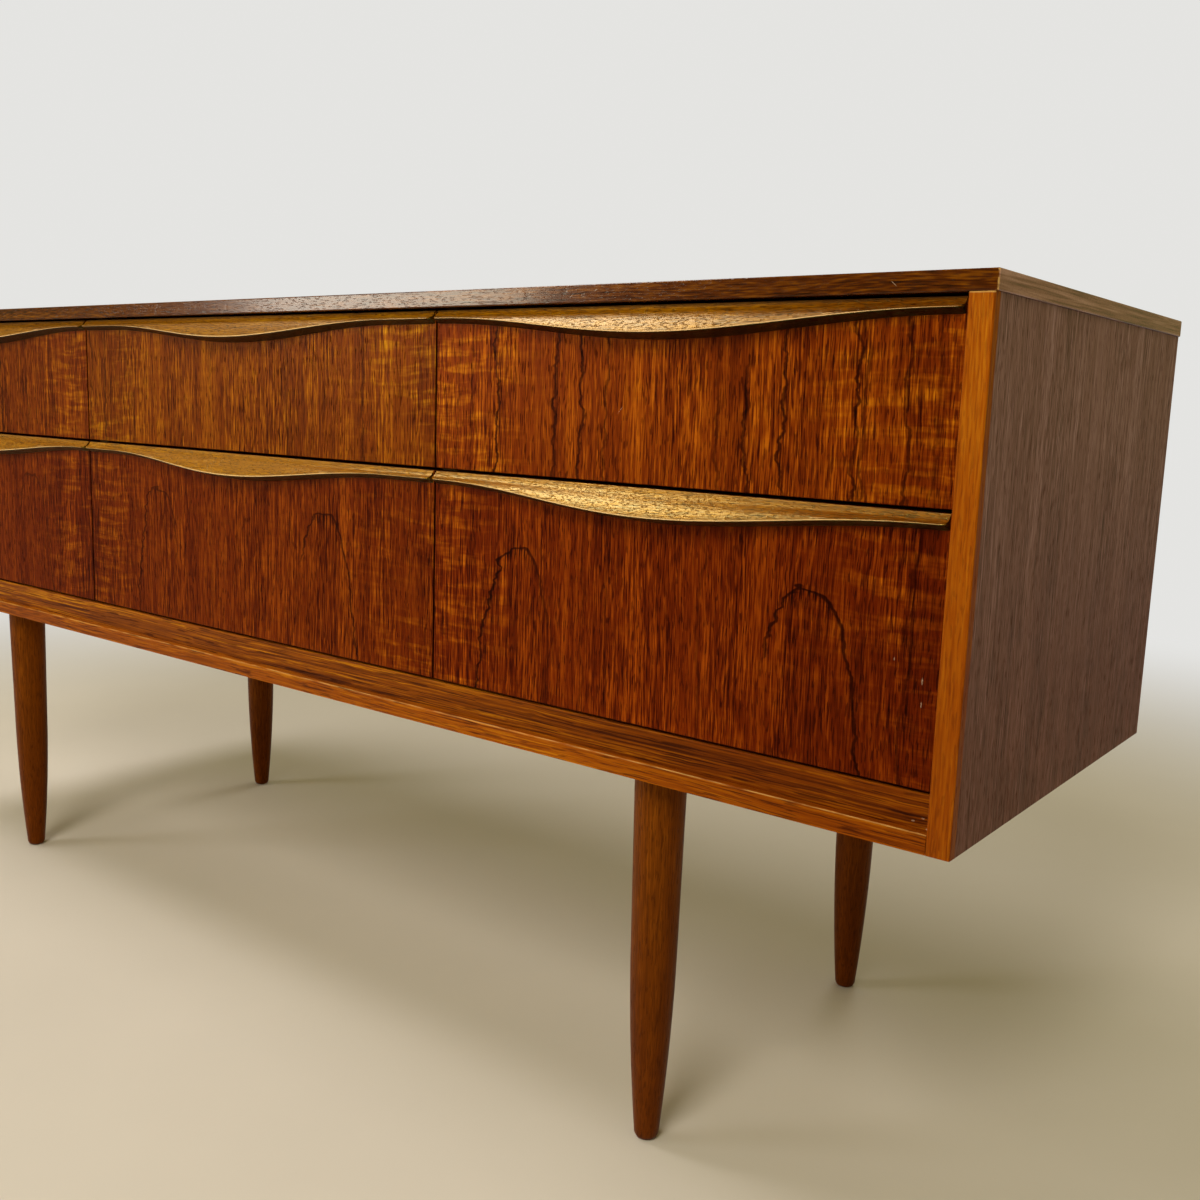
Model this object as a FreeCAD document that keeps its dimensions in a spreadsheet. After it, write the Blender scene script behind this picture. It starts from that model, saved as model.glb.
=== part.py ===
import FreeCAD, Part
import math
import os
import Sketcher

# Long low chest of six drawers on four turned legs.
# +X runs to the right along the front, +Y to the back, +Z up.
# The origin is on the floor, under the middle of the whole chest.

doc = FreeCAD.newDocument("LongDrawerChest")

# ---------------------------------------------------------------- dimensions
DIMENSIONS = [
    # carcase
    ("case_width", 1444, "over the side panels"),
    ("case_depth", 420, "front of the lippings to the back"),
    ("case_height", 342, "underside of the bottom to underside of the top"),
    ("front_plane", -204, "Y of the front of the lippings"),
    ("board", 16, "thickness of sides, dividers and drawer fronts"),
    ("top_thickness", 13, "top panel"),
    ("top_overhang", 1.5, "top panel past each side"),
    ("lipping", 8, "depth of the solid front lippings"),
    ("bottom_thickness", 13.5, "bottom panel and its lipping"),
    ("rail_height", 23.5, "rail between the bottom panel and the lower drawers"),
    ("back_thickness", 4, "hardboard back"),
    ("ease", 1, "rounding of the carcase edges"),
    ("sill_ease", 2, "rounding along the top of the bottom lipping"),
    # bays
    ("seam", 264.4, "X of the seam between the middle and an outer bank"),
    ("divider_back_off", 1, "front edge of a divider behind the drawer fronts"),
    # drawer fronts
    ("front_setback", 6, "drawer faces behind the front of the lippings"),
    ("upper_front", 125, "height of an upper drawer front"),
    ("top_gap", 2, "over the upper fronts"),
    ("row_gap", 2.5, "between the two rows"),
    ("sill_gap", 2, "under the lower fronts"),
    ("side_gap", 1.5, "between an outer front and the side panel"),
    ("seam_gap", 1.5, "between neighbouring fronts"),
    ("front_ease", 0.8, "rounding of the drawer front edges"),
    # pull lips
    ("lip_short", 1, "lip end short of the end of its front"),
    ("lip_nose", 2.8, "how far forward the rounded top edge runs"),
    ("lip_nose_drop", 3.4, "how far down the rounded top edge runs"),
    ("lip_reach_end", 8.5, "lip arris in front of the face, at the ends"),
    ("lip_reach_mid", 18, "lip arris in front of the face, in the middle"),
    ("lip_drop_end", 6.3, "lip arris below the top edge, at the ends"),
    ("lip_drop_mid", 19.8, "lip arris below the top edge, in the middle"),
    ("lip_root", 4, "underside meets the face this far below the arris"),
    ("wave_half", 212, "half length of the wave in a lip"),
    # drawer boxes
    ("box_length", 372, "depth of a drawer box behind its front"),
    ("box_side", 12, "thickness of the drawer sides and back"),
    ("upper_box", 96, "height of an upper drawer side"),
    ("lower_box", 142, "height of a lower drawer side"),
    ("box_lift", 8, "drawer side above the lower edge of its front"),
    ("box_play", 1.2, "drawer side to carcase, each side"),
    ("ply", 4, "drawer bottom"),
    ("ply_lift", 8, "drawer bottom above the lower edge of the side"),
    ("ply_groove", 5, "depth of the groove for the drawer bottom"),
    ("ply_play", 0.2, "drawer bottom to the walls of its groove"),
    # runners
    ("runner_reach", 8, "runner standing out of the carcase"),
    ("runner_height", 14, "runner"),
    ("runner_length", 360, "runner"),
    ("runner_setback", 8, "runner behind the back of the drawer front"),
    ("runner_groove", 7.5, "depth of the runner groove in a drawer side"),
    ("runner_play", 0.5, "runner to groove, above and below"),
    # legs
    ("leg_length", 304, "floor to the underside of the bottom"),
    ("leg_x", 479, "leg axis from the middle"),
    ("leg_y", 172, "leg axis from the middle of the carcase depth"),
    ("leg_top_r", 20.2, "radius at the top of a leg"),
    ("leg_knee_r", 18.2, "radius where the straight upper part ends"),
    ("leg_knee", 160, "height where the straight upper part ends"),
    ("leg_foot_r", 9.8, "radius just over the rounded foot"),
    ("leg_flat_r", 5.6, "flat under the foot"),
    ("leg_foot", 4.2, "height of the rounded foot"),
    ("plate", 58, "side of a square leg plate"),
    ("plate_thickness", 2.5, "leg plate"),
    ("plate_hole", 44, "spacing of the screw holes in a leg plate"),
    ("plate_play", 0.5, "leg plate to the walls of its pocket"),
    ("plate_screw_length", 9, "plate screw under its head"),
    ("hole_play", 0.1, "screw to the walls of its hole in a plate"),
    ("stud_r", 4, "threaded stud in a leg"),
    ("stud_length", 40, "threaded stud in a leg"),
    ("stud_up", 8, "stud above the underside of the bottom"),
    # fastenings
    ("screw_r", 1.7, "wood screw"),
    ("screw_length", 12, "runner screw under its head"),
    ("screw_head_r", 3.6, "wood screw head"),
    ("screw_head", 2, "height of a countersunk head"),
    ("pin_r", 0.8, "back panel pin"),
    ("pin_length", 14, "back panel pin"),
    ("pin_inset", 8, "pin in from the edge of the back panel"),
]

sheet = doc.addObject("Spreadsheet::Sheet", "Dims")
for row, (alias, value, note) in enumerate(DIMENSIONS, start=1):
    sheet.set("A%d" % row, alias)
    sheet.set("B%d" % row, str(value))
    sheet.set("C%d" % row, note)
    sheet.setAlias("B%d" % row, alias)
doc.recompute()

# ---------------------------------------------------------- places, as formulas
D = "Dims."
HALF = "Dims.case_width / 2"
INNER = "(Dims.case_width / 2 - Dims.board)"
FRONT = "Dims.front_plane"
BACK = "(Dims.front_plane + Dims.case_depth)"
MIDDLE = "(Dims.front_plane + Dims.case_depth / 2)"
FACE = "(Dims.front_plane + Dims.front_setback)"
BEHIND = "(Dims.front_plane + Dims.front_setback + Dims.board)"
UNDER = "Dims.leg_length"
FLOOR = "(Dims.leg_length + Dims.bottom_thickness)"
CEILING = "(Dims.leg_length + Dims.case_height)"
PANEL_BACK = "(Dims.front_plane + Dims.case_depth - Dims.back_thickness)"

# The axis of each leg.
LEG_SPOTS = {
    "front_left": ("-Dims.leg_x", MIDDLE + " - Dims.leg_y"),
    "front_right": ("Dims.leg_x", MIDDLE + " - Dims.leg_y"),
    "back_left": ("-Dims.leg_x", MIDDLE + " + Dims.leg_y"),
    "back_right": ("Dims.leg_x", MIDDLE + " + Dims.leg_y"),
}

LOWER_BOTTOM = FLOOR[:-1] + " + Dims.rail_height + Dims.sill_gap)"
UPPER_TOP = CEILING[:-1] + " - Dims.top_gap)"
UPPER_BOTTOM = UPPER_TOP[:-1] + " - Dims.upper_front)"
LOWER_TOP = UPPER_BOTTOM[:-1] + " - Dims.row_gap)"

kept = []


# ------------------------------------------------------------------- helpers
def place(piece, corner):
    """Bind the position of a piece to three formulas."""
    for axis, formula in zip("xyz", corner):
        piece.setExpression("Placement.Base." + axis, str(formula))


def keep(piece, label):
    """Give a finished sub-part its label and list it for export."""
    piece.Label = label
    kept.append(piece)
    return piece


def sized(piece, size):
    """Bind the three sizes of a box."""
    for prop, formula in zip(("Length", "Width", "Height"), size):
        piece.setExpression(prop, str(formula))
    return piece


def board(label, size, corner):
    """A plain board as a body holding one additive box."""
    body = doc.addObject("PartDesign::Body", label)
    sized(body.newObject("PartDesign::AdditiveBox", label + "_blank"), size)
    place(body, corner)
    return keep(body, label)


def groove(body, size, corner):
    """Cut a box-shaped groove or notch out of a board; places are the board's own."""
    cut = sized(body.newObject("PartDesign::SubtractiveBox", body.Name + "_groove"), size)
    place(cut, corner)
    return cut


def ease(body, radius, wanted):
    """Round the edges of a body whose middle point passes the test."""
    doc.recompute()
    base = body.Tip
    names = []
    for number, edge in enumerate(base.Shape.Edges, start=1):
        if wanted(edge, base.Shape.BoundBox):
            names.append("Edge%d" % number)
    fillet = body.newObject("PartDesign::Fillet", body.Name + "_ease")
    fillet.Base = (base, names)
    fillet.setExpression("Radius", radius)
    return fillet


def near(value, target):
    return abs(value - target) < 0.01


def any_edge(edge, box):
    return True


def front_edge(edge, box):
    """All the edges around the front face."""
    return near(edge.CenterOfMass.y, box.YMin)


def front_upright(edge, box):
    """The two upright edges of the front face."""
    return front_edge(edge, box) and near(edge.CenterOfMass.z, box.Center.z)


def front_top(edge, box):
    """The edge along the top of the front face."""
    return front_edge(edge, box) and near(edge.CenterOfMass.z, box.ZMax)


def group(label, pieces):
    """Identical small pieces kept together as separate solids."""
    compound = doc.addObject("Part::Compound", label)
    compound.Links = pieces
    return keep(compound, label)


def cylinder(name, radius, length, corner):
    piece = doc.addObject("Part::Cylinder", name)
    piece.setExpression("Radius", radius)
    piece.setExpression("Height", length)
    place(piece, corner)
    return piece


def turned(piece, axis, angle):
    """Turn a piece about its own start point."""
    piece.Placement = FreeCAD.Placement(piece.Placement.Base, FreeCAD.Rotation(axis, angle))
    return piece


X_AXIS = FreeCAD.Vector(1, 0, 0)
Y_AXIS = FreeCAD.Vector(0, 1, 0)


def countersunk(name, play, length, corner):
    """A countersunk screw, or with some play the hole for one.

    Its head starts at the corner and it points along +Z.
    """
    shank = doc.addObject("Part::Cylinder", name + "_shank")
    shank.setExpression("Radius", "Dims.screw_r + " + play)
    shank.setExpression("Height", length)
    head = doc.addObject("Part::Cone", name + "_head")
    head.setExpression("Radius1", "Dims.screw_head_r + " + play)
    head.setExpression("Radius2", "Dims.screw_r + " + play)
    head.setExpression("Height", "Dims.screw_head")
    whole = doc.addObject("Part::Fuse", name)
    whole.Base = head
    whole.Tool = shank
    place(whole, corner)
    return whole


# ------------------------------------------------------------------- carcase
def make_carcase():
    top = board(
        "top_panel",
        ("Dims.case_width + 2 * Dims.top_overhang", "Dims.case_depth", "Dims.top_thickness"),
        ("-" + HALF + " - Dims.top_overhang", FRONT, CEILING),
    )
    ease(top, "Dims.ease", any_edge)

    side_size = ("Dims.board", "Dims.case_depth - Dims.lipping", "Dims.case_height")
    lip_size = ("Dims.board", "Dims.lipping", "Dims.case_height")
    for hand, left_edge in (("left", "-" + HALF), ("right", INNER)):
        board("side_panel_" + hand, side_size, (left_edge, FRONT + " + Dims.lipping", UNDER))
        lipping = board("side_lipping_" + hand, lip_size, (left_edge, FRONT, UNDER))
        ease(lipping, "Dims.ease", front_upright)

    between = "2 * " + INNER
    bottom = board(
        "bottom_panel",
        (between, "Dims.case_depth - Dims.lipping - Dims.back_thickness", "Dims.bottom_thickness"),
        ("-" + INNER, FRONT + " + Dims.lipping", UNDER),
    )
    # A shallow pocket in the underside for each leg plate.
    pocket = "Dims.plate + 2 * Dims.plate_play"
    for x, y in LEG_SPOTS.values():
        corner = (
            "%s - Dims.plate / 2 - Dims.plate_play + %s" % (x, INNER),
            "%s - Dims.plate / 2 - Dims.plate_play - (%s + Dims.lipping)" % (y, FRONT),
            "0",
        )
        groove(bottom, (pocket, pocket, "Dims.plate_thickness"), corner)
    sill = board(
        "bottom_lipping",
        (between, "Dims.lipping", "Dims.bottom_thickness"),
        ("-" + INNER, FRONT, UNDER),
    )
    ease(sill, "Dims.sill_ease", front_top)
    rail = board(
        "bottom_rail",
        (between, "Dims.board", "Dims.rail_height"),
        ("-" + INNER, FACE, FLOOR),
    )
    ease(rail, "Dims.ease", front_top)

    divider_front = BEHIND + " + Dims.divider_back_off"
    divider_size = (
        "Dims.board",
        PANEL_BACK + " - " + divider_front.replace(" + ", " - ").replace("(", "").replace(")", ""),
        "Dims.case_height - Dims.bottom_thickness",
    )
    for hand, seam in (("left", "-Dims.seam"), ("right", "Dims.seam")):
        board("divider_" + hand, divider_size, (seam + " - Dims.board / 2", divider_front, FLOOR))

    board(
        "back_panel",
        (between, "Dims.back_thickness", "Dims.case_height"),
        ("-" + INNER, PANEL_BACK, UNDER),
    )


# The faces of the uprights that the drawer boxes run between, left to right:
# for each bank, the left wall and the right wall.
BANKS = {
    "left": ("-" + INNER, "(-Dims.seam - Dims.board / 2)"),
    "middle": ("(-Dims.seam + Dims.board / 2)", "(Dims.seam - Dims.board / 2)"),
    "right": ("(Dims.seam + Dims.board / 2)", INNER),
}
# The ends of the drawer fronts of each bank.
FRONT_ENDS = {
    "left": ("(-" + INNER + " + Dims.side_gap)", "(-Dims.seam - Dims.seam_gap / 2)"),
    "middle": ("(-Dims.seam + Dims.seam_gap / 2)", "(Dims.seam - Dims.seam_gap / 2)"),
    "right": ("(Dims.seam + Dims.seam_gap / 2)", "(" + INNER + " - Dims.side_gap)"),
}
# Lower edge and height of the fronts of each row, and the height of its box sides.
ROWS = {
    "upper": (UPPER_BOTTOM, "Dims.upper_front", "Dims.upper_box"),
    "lower": (LOWER_BOTTOM, "(" + LOWER_TOP + " - " + LOWER_BOTTOM + ")", "Dims.lower_box"),
}


# ------------------------------------------------------------------- runners
def make_runners():
    screws = []
    length = "Dims.runner_length"
    front = BEHIND + " + Dims.runner_setback"
    for row, (bottom, _, box_height) in ROWS.items():
        middle_z = bottom + " + Dims.box_lift + " + box_height + " / 2"
        runners = []
        for bank, (left_wall, right_wall) in BANKS.items():
            for hand, wall in (("left", left_wall), ("right", right_wall)):
                name = "runner_%s_%s_%s" % (row, bank, hand)
                runner = doc.addObject("Part::Box", name)
                sized(runner, ("Dims.runner_reach", length, "Dims.runner_height"))
                inset = "" if hand == "left" else " - Dims.runner_reach"
                place(runner, (wall + inset, front, middle_z + " - Dims.runner_height / 2"))
                runners.append(runner)
                # Two screws through each runner, heads let in flush with its face.
                angle = 90 if hand == "left" else -90
                sign = " + " if hand == "left" else " - "
                for part in (0.15, 0.85):
                    spot = (
                        wall + sign + "Dims.runner_reach",
                        front + " + %g * %s" % (part, length),
                        middle_z,
                    )
                    full = "Dims.screw_length + Dims.screw_head"
                    one = countersunk("%s_screw_%d" % (name, part * 100), "0", full, spot)
                    screws.append(turned(one, Y_AXIS, -angle))
        group("drawer_runners_" + row, runners)
    group("runner_screws", screws)


# ------------------------------------------------------------------- drawers
def wave(part):
    """Height of the lip's wave, 1 in the middle and 0 at a whole half length."""
    return 0.5 + 0.5 * math.cos(math.pi * part)


def lip_section(body, name, place_x, swell):
    """One cross-section of a pull lip, square to its length.

    Its first corner is the top edge of the drawer face. Then come the end of the
    rounded top, the sharp front arris and the foot of the underside on the face.
    """
    plane = [f for f in body.Origin.OriginFeatures if f.Role == "YZ_Plane"][0]
    sketch = body.newObject("Sketcher::SketchObject", name)
    sketch.AttachmentSupport = (plane, "")
    sketch.MapMode = "FlatFace"
    sketch.setExpression("AttachmentOffset.Base.z", place_x)

    reach = "Dims.lip_reach_end + %.4f * (Dims.lip_reach_mid - Dims.lip_reach_end)" % swell
    drop = "Dims.lip_drop_end + %.4f * (Dims.lip_drop_mid - Dims.lip_drop_end)" % swell
    corners = [
        ("top", "0", "0", 0.0, 0.0),
        ("nose", "Dims.lip_nose", "Dims.lip_nose_drop", 3.0, 3.0),
        ("arris", reach, drop, 9.0 + 9 * swell, 7.0 + 13 * swell),
        ("foot", "0", drop + " + Dims.lip_root", 0.0, 11.0 + 13 * swell),
    ]
    points = [FreeCAD.Vector(-forward, -down, 0) for _, _, _, forward, down in corners]
    for start, end in zip(points, points[1:] + points[:1]):
        sketch.addGeometry(Part.LineSegment(start, end), False)
    for line in range(4):
        sketch.addConstraint(Sketcher.Constraint("Coincident", line, 2, (line + 1) % 4, 1))
    sketch.addConstraint(Sketcher.Constraint("Coincident", 0, 1, -1, 1))
    sketch.addConstraint(Sketcher.Constraint("PointOnObject", 3, 1, -2))
    # Each distance runs from the corner to the origin, so it is positive.
    for line, (corner, forward, down, x, y) in list(enumerate(corners))[1:]:
        if corner != "foot":
            across = sketch.addConstraint(Sketcher.Constraint("DistanceX", line, 1, -1, 1, x))
            sketch.setExpression("Constraints[%d]" % across, forward)
        height = sketch.addConstraint(Sketcher.Constraint("DistanceY", line, 1, -1, 1, y))
        sketch.setExpression("Constraints[%d]" % height, down)
    return sketch


def make_lip(label, half_length, corner):
    """A sculpted pull lip, lofted through sections along the drawer front."""
    body = doc.addObject("PartDesign::Body", label)
    steps = [-1, -0.75, -0.5, -0.25, 0, 0.25, 0.5, 0.75, 1]
    stations = [("-(%s)" % half_length, 0)]
    stations += [("%g * Dims.wave_half" % step, wave(step)) for step in steps]
    stations += [(half_length, 0)]
    sections = []
    for number, (place_x, swell) in enumerate(stations):
        sections.append(lip_section(body, "%s_section_%d" % (label, number), place_x, swell))
    doc.recompute()
    loft = body.newObject("PartDesign::AdditiveLoft", label + "_loft")
    loft.Profile = sections[0]
    loft.Sections = sections[1:]
    place(body, corner)
    return keep(body, label)


def make_drawer(row, bank):
    bottom, height, box_height = ROWS[row]
    left_end, right_end = FRONT_ENDS[bank]
    left_wall, right_wall = BANKS[bank]
    name = "%s_%s" % (row, bank)
    width = "(%s - %s)" % (right_end, left_end)
    box_left = "(%s + Dims.box_play)" % left_wall
    box_right = "(%s - Dims.box_play)" % right_wall
    box_bottom = "(%s + Dims.box_lift)" % bottom
    inside = "(%s - %s - 2 * Dims.box_side)" % (box_right, box_left)
    ply_width = "(%s + 2 * Dims.ply_groove - 2 * Dims.ply_play)" % inside
    ply_slot = "Dims.ply + 2 * Dims.ply_play"

    front = board("front_" + name, (width, "Dims.board", height), (left_end, FACE, bottom))
    # Groove in the back of the front for the drawer bottom.
    groove(
        front,
        (ply_width + " + 2 * Dims.ply_play", "Dims.ply_groove", ply_slot),
        (
            "%s + Dims.box_side - Dims.ply_groove - %s" % (box_left, left_end),
            "Dims.board - Dims.ply_groove",
            "Dims.box_lift + Dims.ply_lift - Dims.ply_play",
        ),
    )
    ease(front, "Dims.front_ease", front_edge)

    centre = "(%s + %s) / 2" % (left_end, right_end)
    make_lip(
        "lip_" + name,
        "(%s / 2 - Dims.lip_short)" % width,
        (centre, FACE, "%s + %s" % (bottom, height)),
    )

    side_size = ("Dims.box_side", "Dims.box_length", box_height)
    for hand in ("left", "right"):
        corner_x = box_left if hand == "left" else box_right + " - Dims.box_side"
        side = board("side_%s_%s" % (hand, name), side_size, (corner_x, BEHIND, box_bottom))
        # The runner groove is outside, the groove for the drawer bottom inside.
        runner_x = "0" if hand == "left" else "Dims.box_side - Dims.runner_groove"
        ply_x = "Dims.box_side - Dims.ply_groove" if hand == "left" else "0"
        runner_slot = "Dims.runner_height + 2 * Dims.runner_play"
        groove(
            side,
            ("Dims.runner_groove", "Dims.box_length", runner_slot),
            (runner_x, "0", "%s / 2 - Dims.runner_height / 2 - Dims.runner_play" % box_height),
        )
        groove(
            side,
            ("Dims.ply_groove", "Dims.box_length", ply_slot),
            (ply_x, "0", "Dims.ply_lift - Dims.ply_play"),
        )

    # The drawer back stands on the drawer bottom, between the sides.
    over_ply = "Dims.ply_lift + Dims.ply"
    board(
        "back_" + name,
        (inside, "Dims.box_side", "%s - (%s) - Dims.box_side" % (box_height, over_ply)),
        (
            box_left + " + Dims.box_side",
            BEHIND + " + Dims.box_length - Dims.box_side",
            "%s + %s" % (box_bottom, over_ply),
        ),
    )
    board(
        "bottom_" + name,
        (ply_width, "Dims.box_length + Dims.ply_groove - Dims.ply_play", "Dims.ply"),
        (
            "%s + Dims.box_side - Dims.ply_groove + Dims.ply_play" % box_left,
            BEHIND + " - Dims.ply_groove + Dims.ply_play",
            box_bottom + " + Dims.ply_lift",
        ),
    )


# ---------------------------------------------------------------------- legs
def make_leg(label, spot):
    """A turned leg: rounded foot, swelling lower part, straight upper part, stud hole."""
    body = doc.addObject("PartDesign::Body", label)
    plane = [f for f in body.Origin.OriginFeatures if f.Role == "XZ_Plane"][0]
    sketch = body.newObject("Sketcher::SketchObject", label + "_profile")
    sketch.AttachmentSupport = (plane, "")
    sketch.MapMode = "FlatFace"

    def point(x, y):
        return FreeCAD.Vector(x, y, 0)

    top = sheet.leg_length
    flat = point(sheet.leg_flat_r, 0)
    foot = point(sheet.leg_foot_r, sheet.leg_foot)
    knee = point(sheet.leg_knee_r, sheet.leg_knee)
    head = point(sheet.leg_top_r, top)
    round_middle = point(0.2 * flat.x + 0.8 * foot.x, 0.4 * foot.y)
    swell_middle = point((foot.x + knee.x) / 2 + 1.2, (foot.y + knee.y) / 2)
    shapes = [
        Part.LineSegment(point(0, 0), flat),
        Part.Arc(flat, round_middle, foot),
        Part.Arc(foot, swell_middle, knee),
        Part.LineSegment(knee, head),
        Part.LineSegment(head, point(0, top)),
        Part.LineSegment(point(0, top), point(0, 0)),
    ]
    sketch.addGeometry(shapes, False)
    # An arc drawn upwards on the right runs anticlockwise, so its start is below.
    for first in (0, 1, 3, 4, 5):
        sketch.addConstraint(Sketcher.Constraint("Coincident", first, 2, (first + 1) % 6, 1))
    sketch.addConstraint(Sketcher.Constraint("Coincident", 0, 1, -1, 1))
    sketch.addConstraint(Sketcher.Constraint("Horizontal", 0))
    sketch.addConstraint(Sketcher.Constraint("Horizontal", 4))
    sketch.addConstraint(Sketcher.Constraint("Vertical", 5))
    sketch.addConstraint(Sketcher.Constraint("Tangent", 2, 2, 3, 1))
    distances = [
        ("DistanceX", 0, 2, "Dims.leg_flat_r", flat.x),
        ("DistanceX", 1, 2, "Dims.leg_foot_r", foot.x),
        ("DistanceY", 1, 2, "Dims.leg_foot", foot.y),
        ("DistanceX", 2, 2, "Dims.leg_knee_r", knee.x),
        ("DistanceY", 2, 2, "Dims.leg_knee", knee.y),
        ("DistanceX", 3, 2, "Dims.leg_top_r", head.x),
        ("DistanceY", 3, 2, "Dims.leg_length", head.y),
    ]
    for kind, line, end, formula, value in distances:
        number = sketch.addConstraint(Sketcher.Constraint(kind, -1, 1, line, end, value))
        sketch.setExpression("Constraints[%d]" % number, formula)
    number = sketch.addConstraint(Sketcher.Constraint("Radius", 1, 6.0))
    sketch.setExpression("Constraints[%d]" % number, "Dims.leg_foot * 1.2")
    doc.recompute()

    turned_leg = body.newObject("PartDesign::Revolution", label + "_turning")
    turned_leg.Profile = sketch
    turned_leg.ReferenceAxis = (sketch, ["V_Axis"])
    turned_leg.Angle = 360
    hole = body.newObject("PartDesign::SubtractiveCylinder", label + "_stud_hole")
    hole.setExpression("Radius", "Dims.stud_r")
    hole.setExpression("Height", "Dims.stud_length")
    place(hole, ("0", "0", "Dims.leg_length + Dims.stud_up - Dims.stud_length"))
    place(body, (spot[0], spot[1], "0"))
    return keep(body, label)


def make_leg_fixings():
    """Steel plates let in flush under the bottom, their screws, and the studs of the legs."""
    plates = []
    studs = []
    screws = []
    full = "Dims.plate_screw_length + Dims.screw_head"
    stud_bottom = UNDER + " + Dims.stud_up - Dims.stud_length"
    for name, (x, y) in LEG_SPOTS.items():
        blank = doc.addObject("Part::Box", "plate_blank_" + name)
        sized(blank, ("Dims.plate", "Dims.plate", "Dims.plate_thickness"))
        place(blank, (x + " - Dims.plate / 2", y + " - Dims.plate / 2", UNDER))
        holes = [cylinder("plate_bore_" + name, "Dims.stud_r", "Dims.plate_thickness",
                          (x, y, UNDER))]
        for sign_x in "-+":
            for sign_y in "-+":
                tag = "%s_%d" % (name, len(holes))
                spot = (
                    "%s %s Dims.plate_hole / 2" % (x, sign_x),
                    "%s %s Dims.plate_hole / 2" % (y, sign_y),
                    UNDER,
                )
                holes.append(countersunk("plate_hole_" + tag, "Dims.hole_play", full, spot))
                screws.append(countersunk("plate_screw_" + tag, "0", full, spot))
        bores = doc.addObject("Part::MultiFuse", "plate_bores_" + name)
        bores.Shapes = holes
        plate = doc.addObject("Part::Cut", "plate_" + name)
        plate.Base = blank
        plate.Tool = bores
        plates.append(plate)
        studs.append(cylinder("stud_" + name, "Dims.stud_r", "Dims.stud_length",
                              (x, y, stud_bottom)))
    group("leg_plates", plates)
    group("leg_studs", studs)
    group("leg_plate_screws", screws)


# ----------------------------------------------------------------- back pins
def make_back_pins():
    """Pins through the back panel into the bottom panel and the dividers."""
    pins = []
    along = 12
    length = "Dims.pin_length"

    def pin(x, z):
        piece = cylinder("back_pin_%d" % len(pins), "Dims.pin_r", length, (x, BACK, z))
        turned(piece, X_AXIS, 90)
        pins.append(piece)

    for step in range(along):
        part = (step + 0.5) / along * 2 - 1
        pin("%.4f * %s" % (part, INNER), UNDER + " + Dims.bottom_thickness / 2")
    for seam in ("-Dims.seam", "Dims.seam"):
        for part in (0.25, 0.5, 0.75):
            pin(seam, "%s + %g * Dims.case_height" % (UNDER, part))
    group("back_panel_pins", pins)


# --------------------------------------------------------------------- build
make_carcase()
make_runners()
make_back_pins()
for row_name in ROWS:
    for bank_name in BANKS:
        make_drawer(row_name, bank_name)
for leg_name, leg_spot in LEG_SPOTS.items():
    make_leg("leg_" + leg_name, leg_spot)
make_leg_fixings()
doc.recompute()

for item in doc.Objects:
    if "Invalid" in item.State or "Error" in item.State:
        raise RuntimeError("%s is %s" % (item.Label, item.State))

os.makedirs("parts", exist_ok=True)
for piece in kept:
    shape = piece.Shape
    if shape.isNull() or not shape.isValid() or not shape.Solids:
        raise RuntimeError("%s has no valid solid" % piece.Label)
    shape.exportStep("parts/%s.step" % piece.Label)
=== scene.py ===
import math

import bpy
from mathutils import Matrix, Vector


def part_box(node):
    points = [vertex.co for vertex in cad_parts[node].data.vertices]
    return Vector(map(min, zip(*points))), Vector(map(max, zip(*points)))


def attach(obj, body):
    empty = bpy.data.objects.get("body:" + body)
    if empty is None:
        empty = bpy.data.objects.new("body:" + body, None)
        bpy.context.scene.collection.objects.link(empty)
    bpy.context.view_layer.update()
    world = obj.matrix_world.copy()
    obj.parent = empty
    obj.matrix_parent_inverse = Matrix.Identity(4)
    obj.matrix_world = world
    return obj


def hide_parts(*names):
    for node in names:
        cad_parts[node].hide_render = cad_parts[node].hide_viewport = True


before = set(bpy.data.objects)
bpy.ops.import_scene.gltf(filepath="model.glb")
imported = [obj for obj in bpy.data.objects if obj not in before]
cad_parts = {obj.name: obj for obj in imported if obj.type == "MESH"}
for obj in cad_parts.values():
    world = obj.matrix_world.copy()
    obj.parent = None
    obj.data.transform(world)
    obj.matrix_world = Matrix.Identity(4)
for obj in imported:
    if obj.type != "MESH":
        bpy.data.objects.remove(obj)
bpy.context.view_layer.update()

# Looks of the long drawer chest, and the stage that it stands on. Lengths are in metres, in
# the frame of the CAD model. Colours are linear red, green and blue.

# ------------------------------------------------------------------ material graphs


class Value:
    """A number or vector inside a material, with arithmetic."""

    def __init__(self, graph, socket):
        self.graph = graph
        self.socket = socket

    def __add__(self, other):
        return self.graph.math("ADD", self, other)

    def __sub__(self, other):
        return self.graph.math("SUBTRACT", self, other)

    def __rsub__(self, other):
        return self.graph.math("SUBTRACT", other, self)

    def __mul__(self, other):
        return self.graph.math("MULTIPLY", self, other)

    def __truediv__(self, other):
        return self.graph.math("DIVIDE", self, other)

    def __abs__(self):
        return self.graph.math("ABSOLUTE", self)


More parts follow.
